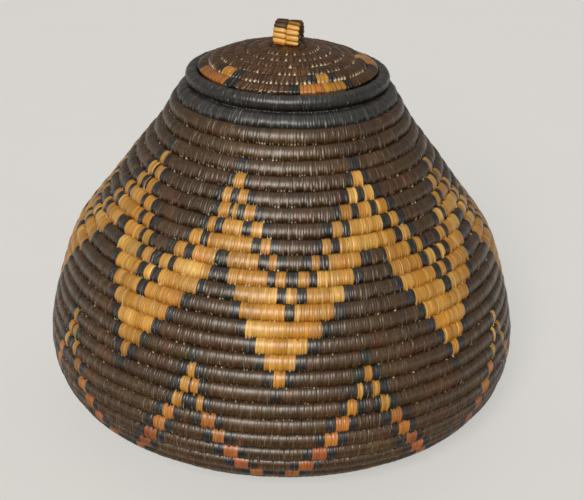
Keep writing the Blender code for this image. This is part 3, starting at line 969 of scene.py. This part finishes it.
def palm_material(name, look, coat_ior, coat_roughness, tint=(1.0, 0.75, 0.45, 1)):
    """A Principled material whose colour, gloss, roughness and bump come from the palm strip group."""
    material = bpy.data.materials.get(name)
    if material is not None:
        return material
    group = bpy.data.node_groups.get("palm strip") or palm_group()
    material = bpy.data.materials.new(name)
    material.use_nodes = True
    tree = material.node_tree
    rows = [
        entry("dye", "Attribute", attribute_name="dye"),
        entry("strip", "Group", {"Dye": "dye/Color", **look}, node_tree=group),
        entry("bump", "Bump", {"Strength": 0.6, "Distance": 0.0003, "Height": "strip/Height"}),
    ]
    add_nodes(tree, rows)
    inputs = {"Base Color": "strip/Color", "Roughness": "strip/Roughness", "Coat Weight": "strip/Gloss"}
    inputs |= {"Normal": "bump", "Specular IOR Level": 0.22, "Specular Tint": tint}
    inputs |= {"Coat IOR": coat_ior, "Coat Roughness": coat_roughness}
    feed(tree, tree.nodes["Principled BSDF"], inputs)
    return material


def dyed_palm():
    """Brown ground with golden, orange and black figures."""
    # Painted shade in the grooves and at the ends, painted glint streaks and painted highlights on some tips.
    look = {"Fibre": 0.9, "Groove": 0.5, "Streak": 0.9, "Tip": 0.85, "Tip share": 0.4, "Tip length": 0.24}
    return palm_material("dyed palm", {**look, "Roughness": 0.40}, 1.68, 0.43)


def lid_palm():
    """The lid's strips, with painted highlights on long pale ends, most of them in front."""
    look = {"Fibre": 0.9, "Groove": 0.95, "Streak": 0.5, "Tip": 1.0, "Tip share": 0.8, "Tip length": 0.42}
    # The painted highlights on the tips lean towards the front, -Y.
    return palm_material("lid palm", {**look, "Tip lean": -3.2, "Roughness": 0.42}, 1.48, 0.32)


def knob_palm():
    """The knob's broad strips, each with a painted shade in amber brown along its lower edge."""
    look = {"Fibre": 0.5, "Groove": 0.95, "Streak": 0.1, "Tip": 0.0, "Tip share": 0.0, "Roughness": 0.45}
    # The crest moves each groove towards the strip's lower edge, where the groove's tint paints shade.
    look |= {"Crest": 0.79, "Groove tint": (0.52, 0.28, 0.07, 1)}
    return palm_material("knob palm", look, 1.45, 0.45)


def black_palm():
    """Dark strips of the mouth and the edge roll."""
    # Painted shade in the grooves and at the ends, and painted glint streaks. No painted highlights on the
    # tips.
    look = {"Fibre": 0.8, "Groove": 0.5, "Streak": 0.9, "Tip": 0.0, "Tip share": 0.0, "Roughness": 0.38}
    return palm_material("black palm", look, 1.55, 0.42, (1, 1, 1, 1))


class BASKET_OT_body(bpy.types.Operator):
    """Wrap the body's coil, turn by turn, from the knot under the base to the ring of the mouth"""

    bl_idname = "basket.body"
    bl_label = "Body coil"
    bl_options = {"REGISTER", "UNDO"}

    def execute(self, context):
        settings = context.scene.basket
        coil = body_coil(settings.coil)
        base_rows = int((settings.coil.base_radius - coil.start) / coil.pitch - BASE_EDGE_ROWS)
        brown, black = dyed_palm(), black_palm()
        start_knot("base_start_knot", "basket", coil, BROWN, settings, brown, True)
        for row in range(1, coil.rows - 1):
            node = f"base_coil_{row:02d}" if row <= base_rows else f"wall_coil_{row - base_rows:02d}"
            coil_turn(node, "basket", coil, row, body_kinds, settings, brown, base_rows=base_rows)
        coil_turn("shoulder_coil", "basket", coil, coil.rows - 1, slate_kinds, settings, black, LAST_TURN)
        level_ring("mouth_ring", "basket", coil, coil.rows, SLATE, settings, black)
        return {"FINISHED"}


class BASKET_OT_lid(bpy.types.Operator):
    """Wrap the lid's coil, its edge roll and the rings of its collar"""

    bl_idname = "basket.lid"
    bl_label = "Lid"
    bl_options = {"REGISTER", "UNDO"}

    def execute(self, context):
        settings = context.scene.basket
        coil = lid_coil(settings.coil)
        lid, black = lid_palm(), black_palm()
        start_knot("lid_start_knot", "lid", coil, UMBER, settings, lid, False)
        for row in range(1, coil.rows + 1):
            last_share = LAST_TURN if row == coil.rows else 1
            coil_turn(f"lid_coil_{row:02d}", "lid", coil, row, lid_kinds, settings, lid, last_share, True)
        round_ring("lid_edge_roll", "lid", SLATE, settings, black, ROLL_SEED)
        rings = [name for name in sorted(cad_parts) if name.startswith("lid_collar_ring")]
        for seed, node in enumerate(rings, COLLAR_SEED):
            round_ring(node, "lid", UMBER, settings, lid, seed)
        return {"FINISHED"}


def knob_loop(node, side, foot, settings, material):
    """A tight hairpin of coil: up its front leg, over half a turn and down its back leg.

    The section is a superellipse about the hairpin's middle line, drawn in by each strip's groove, and
    the whole loop is turned with the knob about the lid's axis.
    """
    sizes, strips = settings.coil, settings.strips
    rng = np.random.default_rng(KNOB_SEED + side)
    half = sizes.knob_coil_thickness / 2
    bend = sizes.knob_depth / 2 - half
    crest = foot + sizes.knob_height - half - bend
    leg = crest - foot
    length = 2 * leg + math.pi * (bend + half)
    first_share = KNOB_FIRST_STRIP if side > 0 else 1.0
    cut = Strips(length, strips.knob_width, strips, rng, KNOB_UNEVENNESS, first_share, fine=True)
    travel = cut.share * length
    turn = np.clip((travel - leg) / (bend + half), 0, math.pi)[:, None]
    lift = np.clip(np.minimum(travel, length - travel), 0, leg)
    cosine = squared(np.cos(ROUND_ANGLES), KNOB_POWER)
    sine = squared(np.sin(ROUND_ANGLES), KNOB_POWER)
    # A strip falls off gently at its first edge and sharply at its last.
    groove = KNOB_GROOVE * np.maximum(cut.across[:, None] ** 6, (1 - cut.across[:, None]) ** 2)
    thick = half - groove * np.where(sine * side < KNOB_TOUCH, KNOB_TOUCH_GROOVE, 1.0)
    out = bend + thick * cosine
    across = side * KNOB_SPREAD * half + KNOB_SPREAD * thick * sine
    depth = -out * np.cos(turn)
    height = foot + lift[:, None] + out * np.sin(turn)
    height = height + KNOB_DROOP * (side * half - across) * np.cos(turn)
    cosine, sine = math.cos(sizes.knob_turn), math.sin(sizes.knob_turn)
    points = np.stack([across * cosine - depth * sine, across * sine + depth * cosine, height], axis=-1)

    number = np.arange(cut.count)[:, None]
    shown = (np.cos(ROUND_MIDDLES) > KNOB_OUTER) & (np.sin(ROUND_MIDDLES) * side <= KNOB_SIDE)
    golden = (number <= KNOB_GOLD_STRIPS[side]) & shown
    gold = np.where(number == KNOB_AMBER_STRIP, KNOB_AMBER, KNOB_GOLD)
    gold = gold * rng.uniform(*KNOB_TONES, (cut.count, 1))
    brown = dyed(UMBER, cut.count, settings.dyes, rng)
    colours = np.where(golden[..., None], gold[:, None, :], brown[:, None, :])
    colours = np.where((shown & ~golden)[..., None], KNOB_CAP, colours)
    palm_skin(node, "lid", points, cut, colours, ROUND_VS, material)


class BASKET_OT_knob(bpy.types.Operator):
    """Wrap the two loops of the knob"""

    bl_idname = "basket.knob"
    bl_label = "Knob"
    bl_options = {"REGISTER", "UNDO"}

    def execute(self, context):
        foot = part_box("knob_loop_left")[0][2]
        for node, side in (("knob_loop_left", -1), ("knob_loop_right", 1)):
            knob_loop(node, side, foot, context.scene.basket, knob_palm())
        return {"FINISHED"}


class BASKET_OT_stage(bpy.types.Operator):
    """Lay the floor, light the basket and place the camera"""

    bl_idname = "basket.stage"
    bl_label = "Stage"
    bl_options = {"REGISTER", "UNDO"}

    def execute(self, context):
        stage = context.scene.basket.stage
        self.lay_floor(stage)
        self.light(context, stage)
        self.place_camera(context, stage)
        return {"FINISHED"}

    def lay_floor(self, stage):
        """A wide plain floor, very slightly mottled, that lights itself in part for the camera."""
        corners = [(x * FLOOR_REACH, y * FLOOR_REACH, 0) for x, y in ((-1, -1), (1, -1), (1, 1), (-1, 1))]
        mesh = bpy.data.meshes.new("floor")
        mesh.from_pydata(corners, [], [(0, 1, 2, 3)])
        material = bpy.data.materials.new("floor")
        material.use_nodes = True
        tree = material.node_tree
        colour = (*stage.floor, 1)
        unlit = 1 - stage.glow
        rows = [
            entry("place", "TexCoord"),
            entry("mottle", "TexNoise", {"Vector": "place/Object", "Scale": 9.0}),
            span("tone", "mottle", 0.0, 1.0, 0.97, 1.03),
            blend("floor", "MULTIPLY", 1.0, colour, "tone"),
            blend("lit share", "MULTIPLY", 1.0, "floor/2", (unlit, unlit, unlit, 1)),
            entry("rays", "LightPath"),
            maths("seen", "ADD", "rays/Is Camera Ray", "rays/Is Glossy Ray"),
            maths("seen too", "ADD", "seen", "rays/Is Transmission Ray", use_clamp=True),
            maths("glow", "MULTIPLY", "seen too", stage.glow),
        ]
        add_nodes(tree, rows)
        inputs = {"Base Color": "lit share/2", "Roughness": 0.8, "Specular IOR Level": 0.0}
        inputs |= {"Emission Color": colour, "Emission Strength": "glow"}
        feed(tree, tree.nodes["Principled BSDF"], inputs)
        mesh.materials.append(material)
        floor = placed("floor", mesh)

    def lamp(self, name, kind, power, colour):
        """A lamp of one kind, power and colour."""
        data = bpy.data.lights.new(name, kind)
        data.energy = power
        data.color = colour
        return placed(name, data)

    def light(self, context, stage):
        """A soft sun above the camera, a wide lamp overhead and light from all round."""
        sun = self.lamp("key", "SUN", stage.key_power, SUN_COLOUR)
        sun.data.angle = stage.key_angle
        sun.rotation_euler = Vector(SUN_FROM).to_track_quat("Z", "Y").to_euler()
        fill = self.lamp("top", "AREA", stage.fill_power, FILL_COLOUR)
        fill.data.shape = "RECTANGLE"
        fill.data.size, fill.data.size_y = FILL_SIZE
        fill.location = FILL_FROM
        fill.rotation_euler = (Vector(FILL_TOWARDS) - Vector(FILL_FROM)).to_track_quat("-Z", "Y").to_euler()
        world = bpy.data.worlds.new("studio")
        world.use_nodes = True
        context.scene.world = world
        background = world.node_tree.nodes["Background"]
        feed(world.node_tree, background, {"Color": ROOM_COLOUR, "Strength": stage.ambient})
        context.scene.view_settings.view_transform = "Standard"

    def place_camera(self, context, stage):
        """Look along the camera's axis at the aim, from a distance, tilted by the roll."""
        ahead = Vector((0, math.cos(stage.elevation), -math.sin(stage.elevation)))
        above = Vector((0, math.sin(stage.elevation), math.cos(stage.elevation)))
        right = Vector((1, 0, 0))
        across = math.cos(stage.roll) * right - math.sin(stage.roll) * above
        upwards = math.sin(stage.roll) * right + math.cos(stage.roll) * above
        data = bpy.data.cameras.new("camera")
        data.lens = stage.lens
        data.sensor_width = FILM_WIDTH
        camera = placed("camera", data)
        turn = Matrix((across, upwards, -ahead)).transposed()
        camera.matrix_world = Matrix.Translation(Vector(stage.aim) - stage.distance * ahead) @ turn.to_4x4()
        context.scene.camera = camera


class PROPS_PG_basket(bpy.types.PropertyGroup):
    """Everything that a user may set."""

    coil: bpy.props.PointerProperty(type=PROPS_PG_coil)
    strips: bpy.props.PointerProperty(type=PROPS_PG_strips)
    dyes: bpy.props.PointerProperty(type=PROPS_PG_dyes)
    stage: bpy.props.PointerProperty(type=PROPS_PG_stage)


class BASKET_PT_sidebar(bpy.types.Panel):
    """Sizes, dyes, the stage and the steps that make the basket"""

    bl_label = "Coiled palm basket"
    bl_idname = "BASKET_PT_sidebar"
    bl_space_type = "VIEW_3D"
    bl_region_type = "UI"
    bl_category = "Basket"

    def draw(self, context):
        basket = context.scene.basket
        for group in (basket.coil, basket.strips, basket.dyes, basket.stage):
            box = self.layout.box()
            for name in group.bl_rna.properties.keys():
                if name not in ("rna_type", "name"):
                    box.prop(group, name)
        for operator in (BASKET_OT_body, BASKET_OT_lid, BASKET_OT_knob, BASKET_OT_stage):
            self.layout.operator(operator.bl_idname)


CLASSES = (
    PROPS_PG_coil,
    PROPS_PG_strips,
    PROPS_PG_dyes,
    PROPS_PG_stage,
    PROPS_PG_basket,
    BASKET_OT_body,
    BASKET_OT_lid,
    BASKET_OT_knob,
    BASKET_OT_stage,
    BASKET_PT_sidebar,
)


def register():
    for item in CLASSES:
        bpy.utils.register_class(item)
    bpy.types.Scene.basket = bpy.props.PointerProperty(type=PROPS_PG_basket)


def unregister():
    del bpy.types.Scene.basket
    for item in reversed(CLASSES):
        bpy.utils.unregister_class(item)


def main():
    register()
    bpy.ops.basket.body()
    bpy.ops.basket.lid()
    bpy.ops.basket.knob()
    bpy.ops.basket.stage()


if __name__ == "__main__":
    main()
